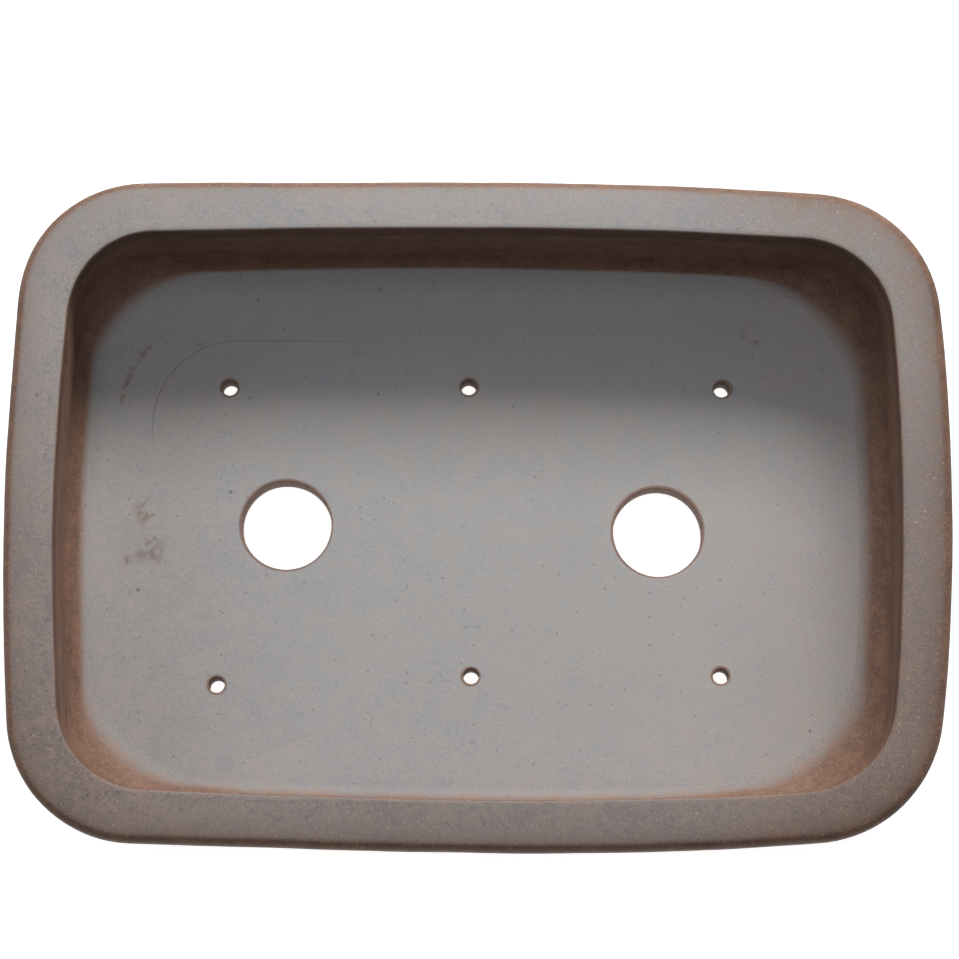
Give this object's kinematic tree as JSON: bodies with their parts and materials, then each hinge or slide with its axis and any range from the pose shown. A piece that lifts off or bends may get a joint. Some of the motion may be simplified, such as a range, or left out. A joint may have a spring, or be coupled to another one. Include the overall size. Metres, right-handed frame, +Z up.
{
  "type": "bonsai pot",
  "caption": "Shallow unglazed bonsai pot, a long soft-cornered rectangle with a broad flat lip, large drain holes, small wire holes and corner feet, to hold a tree and its soil.",
  "frame": {"origin": "middle of the footprint, on the ground under the feet", "axes": "+X along the length, +Y to the back, +Z up out of the open top"},
  "size_m": [0.36, 0.258, 0.074],
  "materials": {
    "unglazed_clay": "unglazed fired stoneware, grey-brown, matt with fine specks"
  },
  "bodies": {
    "root": {"floor_slab": "unglazed_clay", "wall_front": "unglazed_clay", "wall_back": "unglazed_clay", "wall_left": "unglazed_clay", "wall_right": "unglazed_clay", "rim_lip": "unglazed_clay", "seam_coil": "unglazed_clay", "foot_front_left": "unglazed_clay", "foot_front_right": "unglazed_clay", "foot_back_left": "unglazed_clay", "foot_back_right": "unglazed_clay"}
  },
  "joints": []
}
